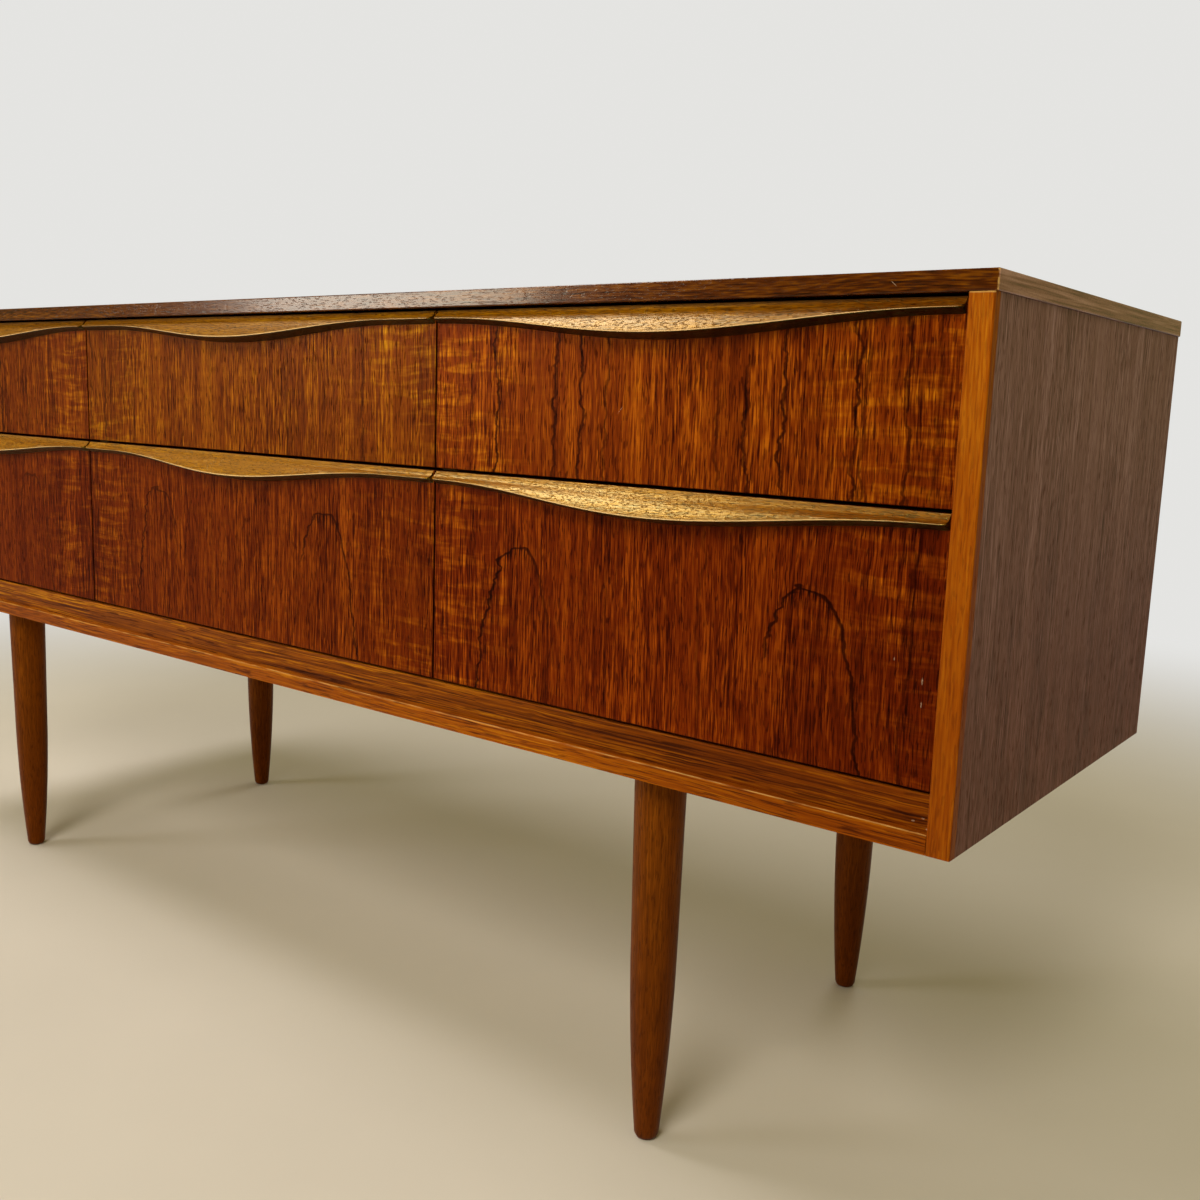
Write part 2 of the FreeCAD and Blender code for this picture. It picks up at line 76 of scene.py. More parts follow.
class Graph:
    """A new material and the nodes that feed its shader."""

    def __init__(self, name):
        self.material = bpy.data.materials.new(name)
        self.material.use_nodes = True
        self.tree = self.material.node_tree
        self.tree.nodes.clear()
        self.output = self.add("ShaderNodeOutputMaterial")
        self.shader = self.add("ShaderNodeBsdfPrincipled")
        self.tree.links.new(self.shader.outputs[0], self.output.inputs["Surface"])
        coordinates = self.add("ShaderNodeTexCoord")
        self.place = Value(self, coordinates.outputs["Object"])
        self.normal = Value(self, coordinates.outputs["Normal"])

    def add(self, kind, **settings):
        node = self.tree.nodes.new(kind)
        for key, value in settings.items():
            setattr(node, key, value)
        return node

    def feed(self, socket, value):
        if isinstance(value, Value):
            self.tree.links.new(value.socket, socket)
        else:
            socket.default_value = value

    def math(self, operation, *values):
        node = self.add("ShaderNodeMath", operation=operation)
        for socket, value in zip(node.inputs, values):
            self.feed(socket, value)
        return Value(self, node.outputs[0])

    def highest(self, values):
        total = values[0]
        for value in values[1:]:
            total = self.math("MAXIMUM", total, value)
        return total

    def vector(self, operation, *values):
        node = self.add("ShaderNodeVectorMath", operation=operation)
        for socket, value in zip(node.inputs, values):
            self.feed(socket, value)
        return Value(self, node.outputs["Value" if operation == "LENGTH" else "Vector"])

    def split(self, vector):
        node = self.add("ShaderNodeSeparateXYZ")
        self.feed(node.inputs[0], vector)
        return [Value(self, socket) for socket in node.outputs]

    def join(self, *values):
        node = self.add("ShaderNodeCombineXYZ")
        for socket, value in zip(node.inputs, values):
            self.feed(socket, value)
        return Value(self, node.outputs[0])

    def noise(self, vector, detail=2.0, roughness=0.5):
        node = self.add("ShaderNodeTexNoise")
        self.feed(node.inputs["Vector"], vector)
        self.feed(node.inputs["Scale"], 1.0)
        self.feed(node.inputs["Detail"], detail)
        self.feed(node.inputs["Roughness"], roughness)
        return Value(self, node.outputs["Fac"])

    def fade(self, value, start, end):
        """0 at start, 1 at end and beyond, with a smooth rise; start may be above end."""
        node = self.add("ShaderNodeMapRange", interpolation_type="SMOOTHSTEP")
        limits = (start, end, 0.0, 1.0) if start < end else (end, start, 1.0, 0.0)
        for socket, item in zip(node.inputs, (value, *limits)):
            self.feed(socket, item)
        return Value(self, node.outputs[0])

    def ramp(self, value, positions, colours):
        """Looks the value up between colours at the positions."""
        node = self.add("ShaderNodeValToRGB")
        self.feed(node.inputs[0], value)
        elements = node.color_ramp.elements
        elements.remove(elements[1])
        elements[0].position, elements[0].color = positions[0], (*colours[0], 1.0)
        for position, colour in zip(positions[1:], colours[1:]):
            elements.new(position).color = (*colour, 1.0)
        return Value(self, node.outputs[0])

    def mix(self, factor, first, second, blend="MIX"):
        node = self.add("ShaderNodeMix", data_type="RGBA", blend_type=blend)
        sockets = (node.inputs[0], node.inputs[6], node.inputs[7])
        for socket, item in zip(sockets, (factor, first, second)):
            if isinstance(item, tuple):
                item = (*item, 1.0)
            self.feed(socket, item)
        return Value(self, node.outputs[2])

    def darken(self, mask, colour, tone):
        """The colour, times the tone where the mask is 1."""
        return self.mix(mask, colour, self.mix(1.0, colour, tone, "MULTIPLY"))

    def bump(self, height, distance, strength=1.0):
        node = self.add("ShaderNodeBump")
        self.feed(node.inputs["Strength"], strength)
        self.feed(node.inputs["Distance"], distance)
        self.feed(node.inputs["Height"], height)
        self.feed(self.shader.inputs["Normal"], Value(self, node.outputs[0]))

    def finish(self, colour, roughness, **uniform):
        """Feeds the shader; the uniform values are named after its sockets."""
        self.feed(self.shader.inputs["Base Color"], colour)
        self.feed(self.shader.inputs["Roughness"], roughness)
        for key, value in uniform.items():
            self.feed(self.shader.inputs[key.replace("_", " ")], value)
        return self.material


# ------------------------------------------------------------------ wood

# Dark, middle and light tones of each timber.
TEAK = ((0.045, 0.0050, 0.0004), (0.180, 0.031, 0.0010), (0.430, 0.120, 0.003))
BROWN = ((0.085, 0.036, 0.014), (0.185, 0.080, 0.035), (0.290, 0.145, 0.075))
HONEY = ((0.13, 0.022, 0.0006), (0.32, 0.070, 0.0012), (0.50, 0.16, 0.004))
GOLDEN = ((0.10, 0.027, 0.0004), (0.32, 0.108, 0.0008), (0.52, 0.22, 0.003))
LEG_BROWN = ((0.065, 0.012, 0.0005), (0.155, 0.036, 0.0010), (0.27, 0.075, 0.003))
PALE = ((0.34, 0.22, 0.12), (0.50, 0.36, 0.21), (0.62, 0.47, 0.30))
HARDBOARD = ((0.17, 0.100, 0.052), (0.28, 0.175, 0.098), (0.40, 0.27, 0.17))

SCUFF = (0.52, 0.36, 0.24)
# Pale arrises, partly abrasion and partly a painted highlight.
ABRADED_AND_LIT_TONE = (0.62, 0.36, 0.10)
VARNISH = (1.0, 0.82, 0.42, 1.0)
# What these multiply the colour of the wood by.
# SHADED darkens both darker tones of the wood and painted shade.
SHADED = (0.60, 0.46, 0.42)
IN_PORES = (0.26, 0.16, 0.14)
IN_GROWTH_LINES = (0.10, 0.05, 0.05)

# Noise in timber: cycles per metre across and along the grain, step of the seed, detail,
# roughness.
LAYERS = {
    "sway": (5.0, 4.0, 0, 2.0, 0.5),
    "jitter": (150.0, 70.0, 0, 2.0, 0.5),
    "broad": (26.0, 0.8, 1, 3.0, 0.55),
    "bands": (130.0, 2.5, 2, 2.0, 0.6),
    "fibres": (1000.0, 55.0, 3, 0.0, 0.5),
    "pores": (1050.0, 110.0, 4, 0.0, 0.5),
    "pore_patches": (90.0, 8.0, 5, 2.0, 0.5),
    "ripples": (24.0, 165.0, 6, 2.0, 0.55),
    "lively": (34.0, 3.0, 7, 1.0, 0.5),
    "lines": (560.0, 16.0, 8, 1.0, 0.6),
    "end_streaks": (520.0, 12.0, 9, 2.0, 0.5),
}
# Where in their noise these rise from nothing to full.
PORES = (0.58, 0.70)
PORE_PATCHES = (0.15, 0.50)
LIVELY = (0.30, 0.66)
RIPPLES = (0.44, 0.70)
# Where in the noise the dark, middle and light tones stand.
TONE_STOPS = (0.10, 0.5, 0.90)
END_STOPS = (0.30, 0.5, 0.70)

# How far the grain sways and jitters, and how far the ripples follow it.
SWAY = 0.010
JITTER = 0.0009
RIPPLE_SWAY = 0.03
RIPPLE_JITTER = 0.002
# Shares in the tone of the wood.
BROAD_SHARE = 0.9
FIBRE_SHARE = 0.52
LINE_SHARE = 0.58
FIBRE_CONTRAST = 3.4
QUIET_LEVEL = 0.45
# A ripple's lowest point, and how much more it lifts green.
RIPPLE_TROUGH = 0.08
RIPPLE_GREEN = 2.2
# Shares in the relief, whose depth is for a relief of 1.
FIBRE_HEIGHT = 0.35
PORE_DEPTH = 0.9
GROWTH_DEPTH = 0.5
RELIEF = 0.00012
RELIEF_STRENGTH = 0.8
# How much rougher than the varnish these are, at the roughness ROUGH_AT.
PORE_ROUGH = 0.18
FIBRE_ROUGH = 0.16
BROAD_ROUGH = 0.10
SPOT_ROUGH = 0.2
ROUGH_AT = 0.38

ALONG = {"x": (1, 0, 0), "y": (0, 1, 0), "z": (0, 0, 1)}
SEED_SHIFT = (1.7, 3.1, 2.3)
SIDEWAYS = (0.5, 0.8)
DOWNWARD = (-0.15, -0.6)


def scaled(tones, red, green, blue):
    return tuple((r * red, g * green, b * blue) for r, g, b in tones)


def stretched(graph, place, grain, across, along, seed=0.0):
    """The place scaled so that a noise in it runs long with the grain."""
    scale = tuple(along if axis else across for axis in ALONG[grain])
    return graph.vector("MULTIPLY_ADD", place, scale, tuple(seed * step for step in SEED_SHIFT))


def layer(graph, kind, place, grain, seed, run=1.0):
    """One of the noises of timber. It runs longer with the grain where run is above 1."""
    across, along, step, detail, roughness = LAYERS[kind]
    long_place = stretched(graph, place, grain, across, along / run, seed + step)
    return graph.noise(long_place, detail, roughness)


def by_side(graph, front, end):
    """One colour on faces that look forward or up, another on those that look sideways."""
    return graph.mix(graph.fade(abs(graph.split(graph.normal)[0]), *SIDEWAYS), front, end)


def rippled(graph, colour, sway, jitter, grain, seed, gain):
    """The colour with rippled grain, as strong as the gain says."""
    follow = sway * RIPPLE_SWAY + jitter * RIPPLE_JITTER
    wave_place = graph.vector("ADD", graph.place, graph.join(0.0, 0.0, follow))
    wave = graph.fade(layer(graph, "ripples", wave_place, grain, seed), *RIPPLES)
    lift = gain(graph) * (wave - RIPPLE_TROUGH)
    tone = graph.join(lift + 1.0, lift * RIPPLE_GREEN + 1.0, lift + 1.0)
    return graph.mix(1.0, colour, tone, "MULTIPLY")


def wood(name, grain, tones, seed, fibre=0.5, pores=0.7, band=0.4, run=1.0, rough=0.40,
         relief=1.0, specular=0.08, tint=VARNISH, lustre=0.0, ripple=None, figure=None,
         shade=None, marks=None, abrasion_and_highlight_mask=None, abrasion_and_highlight_tone=ABRADED_AND_LIT_TONE, ends=None, painted_shade_below=None):
    """A procedural timber finish.

    tones are the dark, middle and light colour. fibre, pores and band are how strong the
    fibres, pores and broad bands are, run how much longer than in the fronts the fibres are,
    and relief how deep. specular and tint are the reflection of the varnish, and lustre is how
    much light the fibres throw back in their own colour. ripple, figure, shade, marks and worn
    are functions of the graph that give masks: rippled grain, dark growth lines, broad
    darkening, which is painted shade where it follows the foot of a side or the right end of
    the chest, pale scuffs, and pale arrises of the tone wear, partly abrasion and partly a
    painted highlight. ends are the tones of the two end faces, on fronts and lips partly
    painted shade in the gaps, and under is painted shade that multiplies the colour of faces
    that look down.
    """
    graph = Graph(name)
    place = graph.place
    sway = layer(graph, "sway", place, grain, seed) - 0.5
    jitter = layer(graph, "jitter", place, grain, seed) - 0.5
    bend = sway * SWAY + jitter * JITTER
    bent = graph.vector("ADD", place, graph.join(bend, bend, bend))
    broad, bands, lively, patches = (
        layer(graph, kind, bent, grain, seed)
        for kind in ("broad", "bands", "lively", "pore_patches"))
    fibres, lines, pore = (
        layer(graph, kind, bent, grain, seed, run) for kind in ("fibres", "lines", "pores"))
    pore = graph.fade(pore, *PORES) * graph.fade(patches, *PORE_PATCHES)

    value = (broad - 0.5) * (band * BROAD_SHARE) + (bands - 0.5) * band + 0.5
    fine = (fibres - 0.5) * FIBRE_SHARE + (lines - 0.5) * LINE_SHARE
    activity = graph.fade(lively, *LIVELY) * (1.0 - QUIET_LEVEL) + QUIET_LEVEL
    value = value + fine * activity * (fibre * FIBRE_CONTRAST)
    colour = graph.ramp(value, TONE_STOPS, tones)
    if ends is not None:
        streaks = layer(graph, "end_streaks", place, "y" if grain == "x" else grain, seed)
        colour = by_side(graph, colour, graph.ramp(streaks, END_STOPS, ends))
    if ripple is not None:
        colour = rippled(graph, colour, sway, jitter, grain, seed, ripple)
    # Darker tones of the wood, and painted shade where the mask follows a side's foot or the right
    # end.
    if shade is not None:
        colour = graph.darken(shade(graph), colour, SHADED)
    colour = graph.darken(pore * pores, colour, IN_PORES)
    height = fibres * FIBRE_HEIGHT - pore * PORE_DEPTH
    if figure is not None:
        growth = figure(graph, fibres)
        colour = graph.darken(growth, colour, IN_GROWTH_LINES)
        height = height - growth * GROWTH_DEPTH
    # Painted shade on faces that look down.
    if painted_shade_below is not None:
        downward = graph.fade(graph.split(graph.normal)[2], *DOWNWARD)
        colour = graph.darken(downward, colour, painted_shade_below)
    gloss = pore * PORE_ROUGH + (fibres - 0.5) * FIBRE_ROUGH + (broad - 0.5) * BROAD_ROUGH
    gloss = gloss * (rough / ROUGH_AT) + rough
    # Pale arrises, partly abrasion and partly a painted highlight, and pale scuffs.
    for mask, tone in ((abrasion_and_highlight_mask, abrasion_and_highlight_tone), (marks, SCUFF)):
        if mask is not None:
            spots = mask(graph)
            colour = graph.mix(spots, colour, tone)
            gloss = gloss + spots * SPOT_ROUGH
    graph.bump(height, RELIEF * relief, RELIEF_STRENGTH)
    return graph.finish(colour, gloss, Specular_IOR_Level=specular, Specular_Tint=tint,
                        Metallic=lustre)


# ------------------------------------------------------------------ masks on the case

# How strongly painted shade darkens the foot of a side lipping.
PAINTED_FOOT_DARKENING = 0.55
ARRIS = 0.0012
ARRIS_STRENGTH = 0.8
SCUFF_STRENGTH = 0.5

# Small pale scuffs, as (x, z, half width, half height, lean of x with z).
SCUFFS = {
    "upper_right": [(0.4518, 0.5708, 0.0004, 0.0030, 0.88)],
    "lower_right": [(0.6934, 0.4120, 0.0007, 0.0028, 0.0), (0.6938, 0.3970, 0.0005, 0.0024, 0.0),
                    (0.6740, 0.4234, 0.0004, 0.0015, 0.0)],
    "rail": [(0.6944, 0.3224, 0.0014, 0.0007, 0.0), (0.7008, 0.3253, 0.0012, 0.0006, 0.0),
             (0.7039, 0.3189, 0.0012, 0.0007, 0.0)],
    "top": [(0.6590, 0.6520, 0.0004, 0.0022, -1.14)],
}


def scuffs(name):
    """The scuffs of a piece, or None where it has none."""

    def mask(graph):
        x, _, z = graph.split(graph.place)
        patchy = graph.noise(graph.join(x * 700.0, 0.0, z * 700.0), 2.0)
        spots = []
        for at, height, wide, tall, lean in SCUFFS[name]:
            rise = z - height
            aside = (x - at - rise * lean) / wide
            spots.append(graph.fade(aside * aside + (rise / tall) * (rise / tall), 1.0, 0.2))
        return graph.highest(spots) * graph.fade(patchy, 0.30, 0.55) * SCUFF_STRENGTH

    return mask if name in SCUFFS else None


def arris_abrasion_and_highlight(node, edge):
    """The front arris of a piece, at its top edge or right end: part abrasion, part painted
    highlight.
    """
    low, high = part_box(node)

    def mask(graph):
        x, y, z = graph.split(graph.place)
        near = graph.fade(y, low.y + ARRIS, low.y + ARRIS * 0.4)
        along, limit = (z, high.z) if edge == "top" else (x, high.x)
        reach = graph.fade(along, limit - ARRIS, limit - ARRIS * 0.4)
        patchy = graph.noise(graph.join(x * 40.0, 0.0, z * 300.0), 3.0)
        return near * reach * graph.fade(patchy, 0.35, 0.60) * ARRIS_STRENGTH

    return mask


def painted_foot_shade(node, amount=PAINTED_FOOT_DARKENING):
    """Painted shade: a side darker toward its foot."""
    low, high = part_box(node)

    def mask(graph):
        return graph.fade(graph.split(graph.place)[2], high.z, low.z) * amount

    return mask


def painted_right_end_shade(start, end, amount):
    """Painted shade: a darker tone toward the right end of the chest, from one x to another."""

    def mask(graph):
        return graph.fade(graph.split(graph.place)[0], start, end) * amount

    return mask


# ------------------------------------------------------------------ drawer fronts

# Each drawer front: its upright dark lines (x, strength, width of the soft side), its arches
# (x and z of the tip, half width at ARCH_RISE below it, strength, which is negative where the
# left leg is the one that runs on to the bottom), and its tint.
FRONTS = {
    "upper_left": (
        [(-0.660, 0.7, 0.002), (-0.600, 0.5, 0.003), (-0.455, 0.8, 0.002), (-0.395, 0.6, 0.002)],
        [], (0.98, 0.88, 1.0)),
    "upper_middle": (
        [(-0.256, 0.6, 0.0012), (-0.230, 0.6, 0.0012), (-0.179, 0.3, 0.002), (-0.043, 0.4, 0.001),
         (0.072, 0.4, 0.002), (0.175, 0.5, 0.0012)],
        [], (1.06, 1.16, 1.0)),
    "upper_right": (
        [(0.290, 0.35, 0.001), (0.305, 0.4, 0.001), (0.330, 0.95, 0.003), (0.391, 0.8, 0.0014),
         (0.4145, 0.85, 0.0012), (0.439, 0.6, 0.001), (0.534, 0.6, 0.001), (0.557, 0.8, 0.002),
         (0.585, 0.9, 0.002), (0.637, 1.0, 0.0045), (0.643, 0.7, 0.001), (0.671, 0.7, 0.0012),
         (0.690, 0.4, 0.001)],
        [], (1.05, 0.88, 0.95)),
    "lower_left": (
        [(-0.50, 0.4, 0.002)],
        [(-0.640, 0.468, 0.040, -0.4), (-0.392, 0.474, 0.038, 0.55)], (0.75, 0.50, 0.8)),
    "lower_middle": (
        [(-0.045, 0.25, 0.001), (0.235, 0.3, 0.001)],
        [(-0.135, 0.477, 0.038, -0.75), (0.124, 0.471, 0.041, 0.80)], (0.82, 0.60, 0.8)),
    "lower_right": (
        [(0.423, 0.35, 0.001), (0.445, 0.3, 0.001), (0.527, 0.35, 0.0012), (0.682, 0.5, 0.001)],
        [(0.356, 0.463, 0.040, -0.95), (0.612, 0.458, 0.041, 0.95)], (0.80, 0.52, 0.7)),
}
# Painted shade: how dark a front gets toward the right end.
PAINTED_RIGHT_DARKENING = {"lower_right": 0.45}
PATCH_SHADE = 0.35
HEART_SHADE = PATCH_SHADE * 0.7

# How strongly the grain ripples, how far in from each end, and how much of it is everywhere.
RIPPLE_GAIN = 0.70
RIPPLE_REACH = 0.13
RIPPLE_FLOOR = 0.15

# Noise that growth lines wander with: cycles per metre in x and z, step of the seed, detail,
# roughness.
WANDER = {
    "slow": (14.0, 26.0, 0.0, 2.0, 0.5),
    "quick": (22.0, 58.0, 5.0, 3.0, 0.55),
    "jag": (60.0, 170.0, 7.0, 1.0, 0.5),
    "strength": (12.0, 11.0, 9.0, 2.0, 0.5),
}
GROWTH_STRENGTH = 0.95
LINE_HALF = (0.0020, 0.0006)
ARCH_RISE = 0.1
ARCH_POWER = 2.9
# Distances from an arch's middle where its line and its hatched crown start and are full.
ARCH_INNER = (-0.0028, -0.0008)
ARCH_OUTER = (0.0014, 0.0003)
HATCH_INNER = (-0.014, -0.003)
HATCH_OUTER = (0.0005, 0.0)
# Depths below an arch's tip where the crown and the leg that stops short fade out.
CROWN_DEPTH = (0.022, 0.006)
SHORT_LEG_DEPTH = (0.070, 0.030)


def front_ripple(node):
    """Rippled grain, strongest towards both ends of a drawer front."""
    low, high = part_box(node)

    def mask(graph):
        x = graph.split(graph.place)[0]
        from_end = graph.math("MINIMUM", x - low.x, high.x - x)
        patches = graph.noise(stretched(graph, graph.place, "z", 14.0, 9.0, low.x * 9), 1.0)
        amount = graph.fade(from_end, RIPPLE_REACH, 0.0) + RIPPLE_FLOOR
        return amount * graph.fade(patches, 0.30, 0.55) * RIPPLE_GAIN

    return mask


def wander(graph, kind, seed):
    """One of the noises that growth lines wander with."""
    x, _, z = graph.split(graph.place)
    across, upright, step, detail, roughness = WANDER[kind]
    return graph.noise(graph.join(x * across, seed + step, z * upright), detail, roughness)


def upright_line(graph, aside, fibres, strength, tail):
    """A thin dark line, with a hatched soft side to its right."""
    outside, inside = LINE_HALF
    line = graph.fade(aside, -outside, -inside) * graph.fade(aside, outside, inside)
    soft = graph.fade(aside, -0.001, 0.0) * graph.fade(aside, tail * 3.0, 0.0)
    soft = soft * graph.fade(fibres, 0.60, 0.40) * 0.75
    return graph.math("MAXIMUM", line, soft) * strength


def arch_line(graph, aside, depth, fibres, fit, half, strength):
    """A dark arch with a hatched crown. One leg stops short, the other runs on."""
    part = abs(aside) / half
    steep = graph.math("POWER", part, ARCH_POWER - 1.0)
    slope = (steep * steep) * (ARCH_POWER / half) ** 2 + 1.0 / ARCH_RISE ** 2
    away = (steep * part - depth / ARCH_RISE) / graph.math("SQRT", slope)
    line = graph.fade(away, *ARCH_INNER) * graph.fade(away, *ARCH_OUTER)
    hatch = graph.fade(away, *HATCH_INNER) * graph.fade(away, *HATCH_OUTER)
    hatch = hatch * graph.fade(depth, *CROWN_DEPTH) * graph.fade(fibres, 0.52, 0.40)
    long_leg = graph.fade(aside * strength, -0.003, 0.003)
    kept = graph.math("MAXIMUM", long_leg, graph.fade(depth, *SHORT_LEG_DEPTH))
    line = line * kept * (fit * 0.3 + 0.7)
    return graph.math("MAXIMUM", line, hatch * 0.9) * abs(strength)


def front_figure(lines, arches, seed):
    """The dark growth lines of a drawer front, upright and arched."""

    def mask(graph, fibres):
        x, _, z = graph.split(graph.place)
        slow, quick, jag = (wander(graph, kind, seed) - 0.5 for kind in ("slow", "quick", "jag"))
        fit = graph.fade(wander(graph, "strength", seed), 0.26, 0.50)
        shaken = x + slow * 0.013 + quick * 0.0060 + jag * 0.0045 + (fibres - 0.5) * 0.0010
        uprights = [
            upright_line(graph, shaken + quick * (0.012 * strength) - at, fibres, strength, tail)
            for at, strength, tail in lines]
        found = [graph.highest(uprights) * (fit * 0.75 + 0.25)]
        for at, top, half, strength in arches:
            aside = shaken + quick * 0.007 - at
            depth = top - z + slow * 0.012 + quick * 0.014 + jag * 0.010
            found.append(arch_line(graph, aside, depth, fibres, fit, half, strength))
        return graph.highest(found) * GROWTH_STRENGTH

    return mask


def front_patches_and_painted_shade(arches, seed, painted_darkening):
    """Broad darker patches, a darker heart inside each arch, and painted shade at the right end."""

    def mask(graph):
        x, _, z = graph.split(graph.place)
        patch = graph.noise(graph.join(x * 17.0, seed, z * 2.2), 2.0)
        total = graph.fade(patch, 0.48, 0.70) * PATCH_SHADE
        for at, top, half, _ in arches:
            aside = (x - at) / half
            inside = graph.fade(aside * aside - (top - z) / ARCH_RISE, 0.0, -0.4)
            total = total + inside * HEART_SHADE
        if painted_darkening:
            total = total + painted_right_end_shade(0.52, 0.70, painted_darkening)(graph)
        return graph.math("MINIMUM", total, 1.0)

    return mask


# ------------------------------------------------------------------ finishes of the CAD nodes


def dress(material, *nodes):
    """Give CAD nodes a finish."""
    for node in nodes:
        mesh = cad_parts[node].data
        mesh.materials.clear()
        mesh.materials.append(material)


def dress_fronts():
    for number, (name, (lines, arches, tint)) in enumerate(FRONTS.items()):
        node = "front_" + name
        seed = 3.0 + 7.0 * number
        # Painted shade toward the right end of the lower right front; the near-black end faces are
        # end grain, partly painted shade in the gaps between fronts.
        dress(wood(
            "veneer_" + name, "z", scaled(TEAK, *tint), seed, fibre=0.56, pores=0.80, band=0.50,
            rough=0.38, specular=0.03, lustre=0.10, ripple=front_ripple(node),
            figure=front_figure(lines, arches, seed),
            shade=front_patches_and_painted_shade(arches, seed, PAINTED_RIGHT_DARKENING.get(name)), marks=scuffs(name),
            ends=scaled(TEAK, 0.12, 0.12, 0.12)), node)


def dress_case():
    # Painted shade toward the right end, and a pale corner arris that is partly abrasion, partly a
    # painted highlight.
    dress(wood(
        "top_veneer", "x", scaled(TEAK, 0.48, 0.52, 0.3), 40.0, fibre=0.55, pores=0.35, band=0.6,
        run=0.6, rough=0.14, relief=0.5, specular=0.34, tint=(1.0, 0.90, 0.60, 1.0),
        abrasion_and_highlight_mask=arris_abrasion_and_highlight("top_panel", "corner"), marks=scuffs("top"),
        shade=painted_right_end_shade(0.30, 0.60, 0.5), ends=scaled(BROWN, 2.65, 3.2, 5.0)), "top_panel")
    dress(wood(
        # Painted shade darkens the sides toward their foot.
        "side_veneer", "z", scaled(BROWN, 1.78, 2.22, 4.0), 47.0, fibre=0.65, pores=0.45,
        band=0.6, rough=0.5, shade=painted_foot_shade("side_panel_right", 1.0)),
        "side_panel_left", "side_panel_right")
    for hand in ("left", "right"):
        node = "side_lipping_" + hand
        # Painted shade toward the foot, and a pale top arris that is partly abrasion, partly a
        # painted highlight.
        dress(wood(
            "upright_lipping_" + hand, "z", HONEY, 52.0, fibre=0.42, pores=0.30, band=0.5,
            rough=0.42, shade=painted_foot_shade(node), abrasion_and_highlight_mask=arris_abrasion_and_highlight(node, "top")), node)
    # Painted shade toward the right end, and a painted highlight along the top arris.
    dress(wood(
        "sill_lipping", "x", scaled(HONEY, 1.00, 1.04, 0.6), 57.0, fibre=0.6, pores=0.7, band=0.5,
        run=2.5, rough=0.36, shade=painted_right_end_shade(0.35, 0.68, 0.8),
        abrasion_and_highlight_mask=arris_abrasion_and_highlight("bottom_lipping", "top")), "bottom_lipping")
    # Painted shade toward the right end.
    dress(wood(
        "rail_veneer", "x", scaled(TEAK, 1.40, 1.90, 0.8), 63.0, fibre=0.45, pores=0.8, band=0.7,
        run=4.0, rough=0.42, shade=painted_right_end_shade(0.22, 0.60, 1.0), marks=scuffs("rail")),
        "bottom_rail")


def zinc_steel():
    steel = Graph("zinc_steel")
    cloud = steel.noise(steel.vector("MULTIPLY", steel.place, (400.0, 400.0, 400.0)), 3.0)
    steel.bump(cloud, 0.00005)
    colour = steel.ramp(cloud, (0.3, 0.7), ((0.42, 0.42, 0.40), (0.60, 0.60, 0.58)))
    return steel.finish(colour, cloud * 0.3 + 0.25, Metallic=1.0)


def dress_hidden():
    """The drawer boxes, the inside and back of the case, and the fasteners."""
    box_wood, box_back_wood = (
        wood(name, grain, PALE, seed, fibre=0.4, pores=0.35, band=0.4, rough=0.5)
        for name, grain, seed in (("box_wood", "y", 71.0), ("box_back_wood", "x", 73.0)))
    plywood = wood("box_plywood", "x", scaled(PALE, 1.1, 1.12, 1.15), 77.0, fibre=0.3, pores=0.25,
                   band=0.5, rough=0.6)
    for name in FRONTS:
        dress(box_wood, "side_left_" + name, "side_right_" + name)
        dress(box_back_wood, "back_" + name)
        dress(plywood, "bottom_" + name)
    board, upright = (
        wood(name, grain, scaled(PALE, 0.8, 0.75, 0.7), seed, fibre=0.3, pores=0.3, band=0.4,
             rough=0.6)
        for name, grain, seed in (("inner_board", "x", 79.0), ("inner_upright", "y", 81.0)))
    dress(board, "bottom_panel")
    dress(upright, "divider_left", "divider_right", "drawer_runners_upper",
          "drawer_runners_lower")
    dress(wood("back_hardboard", "x", HARDBOARD, 83.0, fibre=0.25, pores=0.15, band=0.6,
               rough=0.6), "back_panel")
    dress(zinc_steel(), "leg_plates", "leg_plate_screws", "leg_studs", "runner_screws",
          "back_panel_pins")


# ------------------------------------------------------------------ meshes


def add_mesh(name, points, faces, material, smooth_angle):
    mesh = bpy.data.meshes.new(name)
    mesh.from_pydata(points, [], faces)
    mesh.update()
    mesh.polygons.foreach_set("use_smooth", [True] * len(faces))
    mesh.set_sharp_from_angle(angle=math.radians(smooth_angle))
    mesh.materials.append(material)
    piece = bpy.data.objects.new(name, mesh)
    bpy.context.scene.collection.objects.link(piece)
    return piece


def add_loft(name, rings, material, smooth_angle):
    """A piece of quads between equal rings of points, with a face over each end."""
    count = len(rings[0])
    faces = []
    for start in range(0, (len(rings) - 1) * count, count):
        for corner in range(count):
            follow = (corner + 1) % count
            faces.append((start + corner, start + follow, start + count + follow,
                          start + count + corner))
    last = (len(rings) - 1) * count
    faces.append(tuple(reversed(range(count))))
    faces.append(tuple(range(last, last + count)))
    points = [point for ring in rings for point in ring]
    return add_mesh(name, points, faces, material, smooth_angle)


# The lips' sections: how far they reach forward and down, at the ends and at the crest of the
# wave, how far the root goes below the arris, the nose as (forward, down), and the crown.
LIP_REACH = (0.0085, 0.0180)
LIP_DROP = (0.0063, 0.0198)
LIP_ROOT = 0.004
LIP_NOSE = Vector((0.0028, 0.0042))
LIP_CROWN = 0.0005
LIP_ARRIS_RADIUS = 0.0024
ARRIS_PARTS = (0.0, 0.2, 0.35, 0.5, 0.65, 0.8, 1.0)
# Along a lip: half the length of the wave, the rounded end, and how far in its sections are.
WAVE_HALF = 0.212
LIP_END = 0.005
LIP_END_STATIONS = (0.0, 0.0003, 0.0009, 0.0018, 0.0029, 0.0040)
LIP_STEPS = 150
LIP_SMOOTH_ANGLE = 30
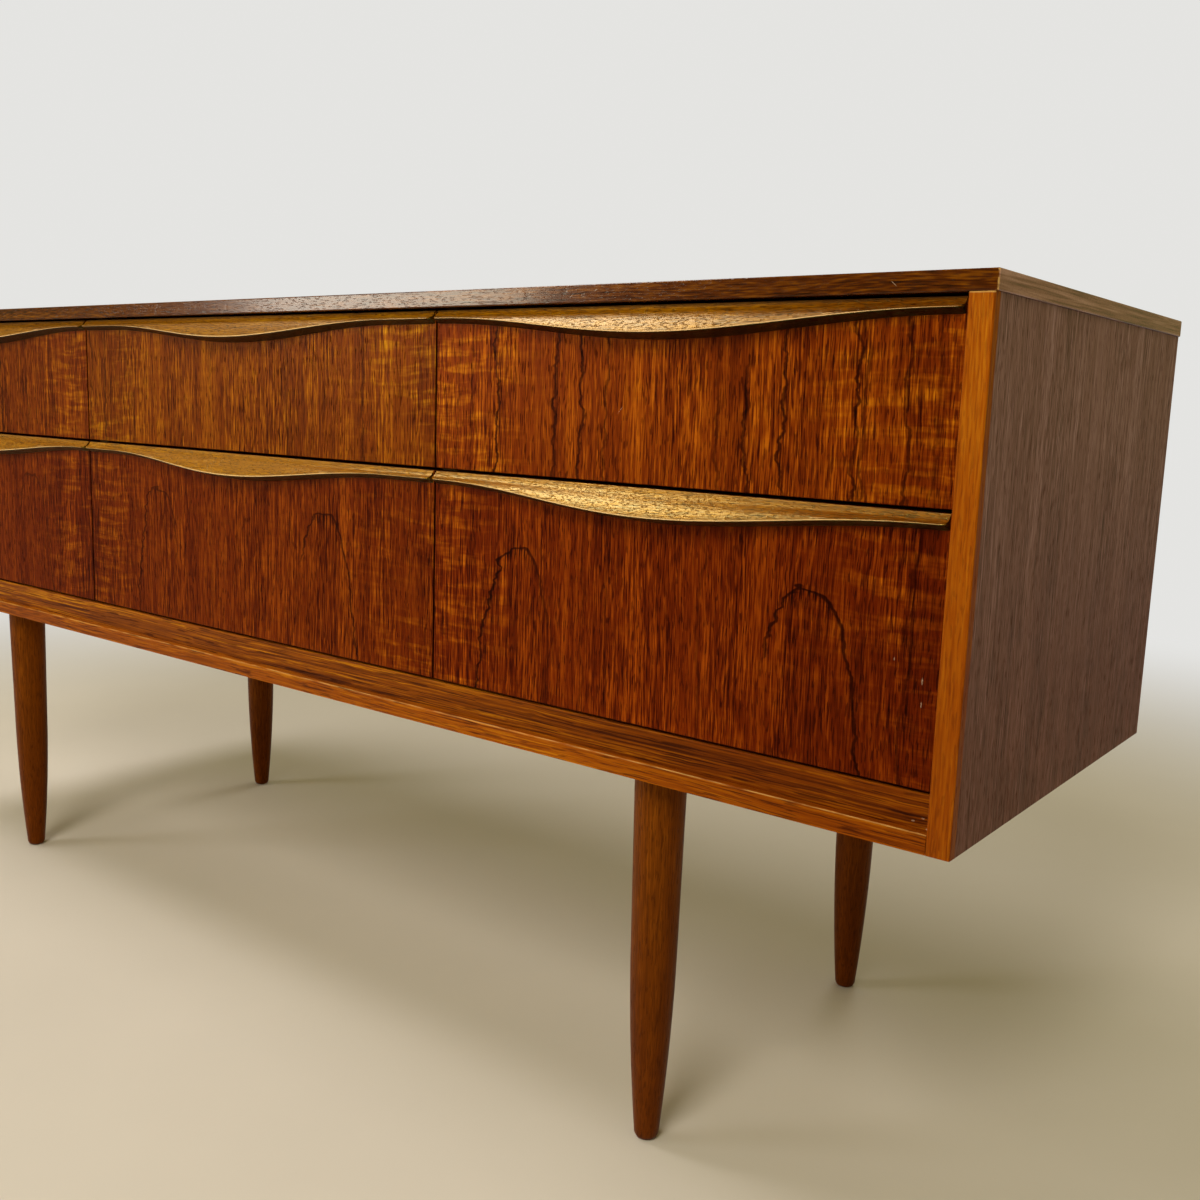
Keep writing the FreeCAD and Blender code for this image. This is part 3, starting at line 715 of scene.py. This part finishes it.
# Tone and specular level of the lips in each row, and the looks that all share.
# The upper row's darker tone is painted shade.
LIP_ROW_SHADE_AND_SPECULAR = {"upper": (0.80, 0.44), "lower": (1.00, 0.88)}
LIP_TINT = (1.0, 0.95, 0.20, 1.0)
# Tone of the painted highlight on the lips' arris.
LIP_HIGHLIGHT_TONE = (0.84, 0.55, 0.26)
# Painted shade on faces of the lips that look down.
LIP_PAINTED_SHADE_BELOW = (0.05, 0.02, 0.02)


def lip_profile(swell, ease):
    """One section of a pull lip as (forward, down) points; ease draws its front in at the ends."""
    reach = LIP_REACH[0] + swell * (LIP_REACH[1] - LIP_REACH[0])
    drop = LIP_DROP[0] + swell * (LIP_DROP[1] - LIP_DROP[0])
    nose = LIP_NOSE
    arris = Vector((reach - 0.0032 * ease, drop - 0.0012 * ease))
    foot = Vector((0.0, drop + LIP_ROOT - 0.0005 * ease))
    face = arris - nose
    slope = face.normalized()
    out = Vector((face.y, -face.x)).normalized()
    points = [Vector((0.0, 0.0)), nose * 0.6, nose * 0.9 + slope * 0.0004, nose + slope * 0.0012]
    for part in (0.25, 0.5, 0.75):
        crown = LIP_CROWN * math.sin(math.pi * part) * (0.4 + swell)
        points.append(nose + face * part + out * crown)
    start = arris - slope * LIP_ARRIS_RADIUS
    end = arris + (foot - arris).normalized() * LIP_ARRIS_RADIUS
    for part in ARRIS_PARTS:
        points.append(start.lerp(arris, part).lerp(arris.lerp(end, part), part))
    return points + [arris.lerp(foot, 0.55), foot]


def lip_stations(half):
    """Distances along a lip from its middle, closer together in its rounded ends."""
    stations = [-half + inset for inset in LIP_END_STATIONS]
    stations += [-half + LIP_END + (2 * half - 2 * LIP_END) * i / LIP_STEPS
                 for i in range(LIP_STEPS + 1)]
    return stations + [half - inset for inset in reversed(LIP_END_STATIONS)]


def lip_section(place, half):
    """The section of a lip at a distance from its middle."""
    swell = 0.5 + 0.5 * math.cos(math.pi * min(1.0, abs(place) / WAVE_HALF))
    from_end = min(1.0, (half - abs(place)) / LIP_END)
    ease = 1.0 - math.sqrt(max(0.0, 1.0 - (1.0 - from_end) ** 2))
    return lip_profile(swell, ease)


def lip_painted_highlight(graph):
    """Painted highlight on the rounded front arris of a lip, where the surface turns from up to
    down.
    """
    aside, _, rise = graph.split(graph.normal)
    turn = graph.fade(rise, -0.45, -0.15) * graph.fade(rise, 0.60, 0.35)
    return turn * graph.fade(abs(aside), 0.30, 0.15) * 0.75


def make_lips():
    for name in FRONTS:
        tone, specular = LIP_ROW_SHADE_AND_SPECULAR[name.split("_")[0]]
        node = "lip_" + name
        low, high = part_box(node)
        centre = (low.x + high.x) / 2
        half = (high.x - low.x) / 2
        rings = [[(centre + place, high.y - p.x, high.z - p.y) for p in lip_section(place, half)]
                 for place in lip_stations(half)]
        # The upper row's darker tone is painted shade.
        golden = scaled(GOLDEN, tone, tone, tone)
        seed = 90.0 + len(name) * 3 + centre * 11
        # Painted shade toward the right end and on faces that look down, a painted highlight on the
        # arris, and end faces that are end grain partly painted as shade in the gaps.
        material = wood(
            "lip_wood_" + name, "x", golden, seed, fibre=0.5, pores=0.65, band=0.3, run=0.4,
            rough=0.31, relief=3.4, specular=specular, tint=LIP_TINT, lustre=0.10,
            shade=painted_right_end_shade(0.50, 0.66, 1.0), abrasion_and_highlight_mask=lip_painted_highlight, abrasion_and_highlight_tone=LIP_HIGHLIGHT_TONE,
            ends=scaled(golden, 0.25, 0.20, 0.3), painted_shade_below=LIP_PAINTED_SHADE_BELOW)
        piece = add_loft("pull_lip_" + name, rings, material, LIP_SMOOTH_ANGLE)
        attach(piece, "drawer_" + name)
        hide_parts(node)


LEGS = ("leg_front_left", "leg_front_right", "leg_back_left", "leg_back_right")
# Heights and radii of the rounded foot and of the knee, where the slim lower half ends.
LEG_FOOT = ((0.0, 0.0056), (0.0012, 0.0083), (0.0042, 0.0098))
LEG_KNEE = (0.160, 0.0182)
LEG_TOP_RADIUS = 0.0202
LEG_SWELL = 0.0016
LEG_STEPS = 60
LEG_TURNS = 72
LEG_SMOOTH_ANGLE = 40


def leg_radius(height, length):
    """Radius of a leg: a slim swelling lower half, then a straight upper part."""
    knee, knee_radius = LEG_KNEE
    if height >= knee:
        return knee_radius + (LEG_TOP_RADIUS - knee_radius) * (height - knee) / (length - knee)
    foot, foot_radius = LEG_FOOT[-1]
    part = (height - foot) / (knee - foot)
    swell = LEG_SWELL * 4 * part * (1 - part)
    return foot_radius + (knee_radius - foot_radius) * part + swell


def leg_profile(length):
    """The heights and radii of a leg's rings."""
    foot = LEG_FOOT[-1][0]
    heights = [foot + (length - foot) * step / LEG_STEPS for step in range(1, LEG_STEPS + 1)]
    return [*LEG_FOOT, *((height, leg_radius(height, length)) for height in heights)]


def leg_shade(graph):
    """A darker tone toward the foot."""
    return graph.fade(graph.split(graph.place)[2], 0.30, 0.05) * 0.7


def make_legs():
    angles = [math.tau * turn / LEG_TURNS for turn in range(LEG_TURNS)]
    for number, node in enumerate(LEGS):
        low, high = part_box(node)
        centre = (low + high) / 2
        rings = [[(centre.x + radius * math.cos(angle), centre.y + radius * math.sin(angle),
                   low.z + height) for angle in angles]
                 for height, radius in leg_profile(high.z - low.z)]
        material = wood(
            "turned_" + node, "z", LEG_BROWN, 120.0 + number * 5, fibre=0.30, pores=0.45,
            band=0.35, rough=0.38, shade=leg_shade)
        piece = add_loft("turned_" + node, rings, material, LEG_SMOOTH_ANGLE)
        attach(piece, "case")
        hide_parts(node)


# ------------------------------------------------------------------ stage

# The camera, in metres, degrees and millimetres, as fitted to the photograph.
CAMERA_PLACE = (0.98797, -0.90536, 0.57476)
CAMERA_YAW = 37.80
CAMERA_PITCH = -9.107
CAMERA_ROLL = 1.915
CAMERA_LENS = 36.68
CAMERA_SENSOR = 36.0
CAMERA_NEAR = 0.02

BACKDROP = (1.0, 0.995, 0.97, 1.0)
FLOOR = (0.63, 0.58, 0.505)
FLOOR_SPECKLE = 1.05
FLOOR_HALF = 12.0
# Distances from the chest where the floor starts to melt into the backdrop and has done so.
FLOOR_MELT = (1.0, 2.6)

# How bright the backdrop is to the camera, and the colour and strength of its light.
WORLD_SEEN = 0.78
WORLD_TINT = (1.0, 0.86, 0.32, 1.0)
WORLD_LIGHT = 0.26

# Soft lights: place, target, width, height or None for a disc, watts and colour.
LIGHTS = {
    "ceiling_light": (
        (-1.12, -0.38, 2.5), (0.2, -0.2, 0.4), 0.95, None, 30.0, (1.0, 0.95, 0.95)),
    "window_light": (
        (-2.95, -3.08, 1.30), (0.0, -0.2, 1.1), 1.15, 1.0, 46.0, (0.98, 0.97, 1.0)),
    "back_light": (
        (-0.3, 2.6, 3.0), (0.0, 0.2, 0.4), 1.3, None, 15.0, (1.0, 0.96, 0.90)),
    "front_light": (
        (0.9, -2.2, 2.2), (0.2, -0.2, 0.4), 1.3, None, 48.0, (1.0, 0.95, 0.84)),
}


def make_camera():
    data = bpy.data.cameras.new("camera")
    data.lens = CAMERA_LENS
    data.sensor_width = CAMERA_SENSOR
    data.clip_start = CAMERA_NEAR
    camera = bpy.data.objects.new("camera", data)
    bpy.context.scene.collection.objects.link(camera)
    turn = Matrix.Rotation(math.radians(CAMERA_YAW), 4, "Z")
    tilt = Matrix.Rotation(math.radians(90 + CAMERA_PITCH), 4, "X")
    lean = Matrix.Rotation(math.radians(CAMERA_ROLL), 4, "Z")
    camera.matrix_world = Matrix.Translation(CAMERA_PLACE) @ turn @ tilt @ lean
    bpy.context.scene.camera = camera


def make_floor():
    """A plain pale floor that melts into the backdrop far from the chest."""
    graph = Graph("floor_paint")
    cloud = graph.noise(graph.vector("MULTIPLY", graph.place, (3.0, 3.0, 3.0)), 4.0)
    graph.bump(cloud, 0.0005)
    paler = tuple(level * FLOOR_SPECKLE for level in FLOOR)
    material = graph.finish(graph.ramp(cloud, (0.3, 0.7), (FLOOR, paler)), 0.7)
    glow = graph.add("ShaderNodeEmission")
    graph.feed(glow.inputs["Color"], BACKDROP)
    seen = Value(graph, graph.add("ShaderNodeLightPath").outputs["Is Camera Ray"])
    graph.feed(glow.inputs["Strength"], seen * (WORLD_SEEN - WORLD_LIGHT) + WORLD_LIGHT)
    melt = graph.add("ShaderNodeMixShader")
    graph.feed(melt.inputs[0], graph.fade(graph.vector("LENGTH", graph.place), *FLOOR_MELT))
    graph.tree.links.new(graph.shader.outputs[0], melt.inputs[1])
    graph.tree.links.new(glow.outputs[0], melt.inputs[2])
    graph.tree.links.new(melt.outputs[0], graph.output.inputs["Surface"])
    size = FLOOR_HALF
    corners = [(-size, -size, 0), (size, -size, 0), (size, size, 0), (-size, size, 0)]
    floor = add_mesh("floor", corners, [(0, 1, 2, 3)], material, 30)


def make_world():
    """A pale backdrop for the camera, and a softer, warmer light on the chest."""
    world = bpy.data.worlds.new("studio")
    world.use_nodes = True
    nodes, links = world.node_tree.nodes, world.node_tree.links
    nodes.clear()
    either = nodes.new("ShaderNodeMixShader")
    links.new(nodes.new("ShaderNodeLightPath").outputs["Is Camera Ray"], either.inputs[0])
    looks = ((WORLD_TINT, WORLD_LIGHT), (BACKDROP, WORLD_SEEN))
    for socket, (colour, strength) in zip(either.inputs[1:], looks):
        background = nodes.new("ShaderNodeBackground")
        background.inputs["Color"].default_value = colour
        background.inputs["Strength"].default_value = strength
        links.new(background.outputs[0], socket)
    links.new(either.outputs[0], nodes.new("ShaderNodeOutputWorld").inputs["Surface"])
    bpy.context.scene.world = world


def make_lights():
    for name, (place, target, width, height, power, colour) in LIGHTS.items():
        data = bpy.data.lights.new(name, "AREA")
        data.shape = "RECTANGLE" if height else "DISK"
        data.size = width
        data.size_y = height or width
        data.energy = power
        data.color = colour
        light = bpy.data.objects.new(name, data)
        light.location = place
        aim = Vector(target) - Vector(place)
        light.rotation_euler = aim.to_track_quat("-Z", "Y").to_euler()
        bpy.context.scene.collection.objects.link(light)
    view = bpy.context.scene.view_settings
    view.view_transform = "Standard"
    view.look = "None"


make_camera()
make_floor()
make_world()
make_lights()
dress_fronts()
dress_case()
dress_hidden()
make_lips()
make_legs()
